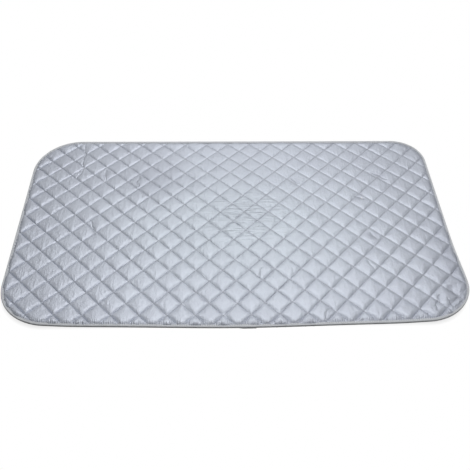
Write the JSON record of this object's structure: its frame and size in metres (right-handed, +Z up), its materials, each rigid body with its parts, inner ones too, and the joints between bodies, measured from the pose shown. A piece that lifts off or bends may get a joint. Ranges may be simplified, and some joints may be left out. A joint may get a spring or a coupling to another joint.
{
  "type": "ironing pad",
  "caption": "Flat quilted ironing pad with rounded corners: silver-coated cloth, wadding and backing stitched in diamonds and bound with grey tape, laid on a table to press clothes.",
  "frame": {"origin": "middle of the underside, on the table", "axes": "+X along the length to the right, +Y from the front edge to the back, +Z up through the ironing face"},
  "size_m": [0.85, 0.48, 0.0092],
  "materials": {
    "silver_cloth": "woven cloth with a satin silver coating",
    "white_fibre": "matte needled fibre",
    "grey_cotton": "matte plain-woven cotton",
    "grey_tape": "matte woven tape cut on the bias",
    "grey_thread": "twisted sewing thread"
  },
  "bodies": {
    "root": {"top_cover": "silver_cloth", "wadding": "white_fibre", "backing": "grey_cotton", "edge_binding": "grey_tape", "quilt_needle_rising": "grey_thread", "quilt_needle_falling": "grey_thread", "quilt_bobbin_rising": "grey_thread", "quilt_bobbin_falling": "grey_thread", "binding_thread": "grey_thread"}
  },
  "joints": []
}
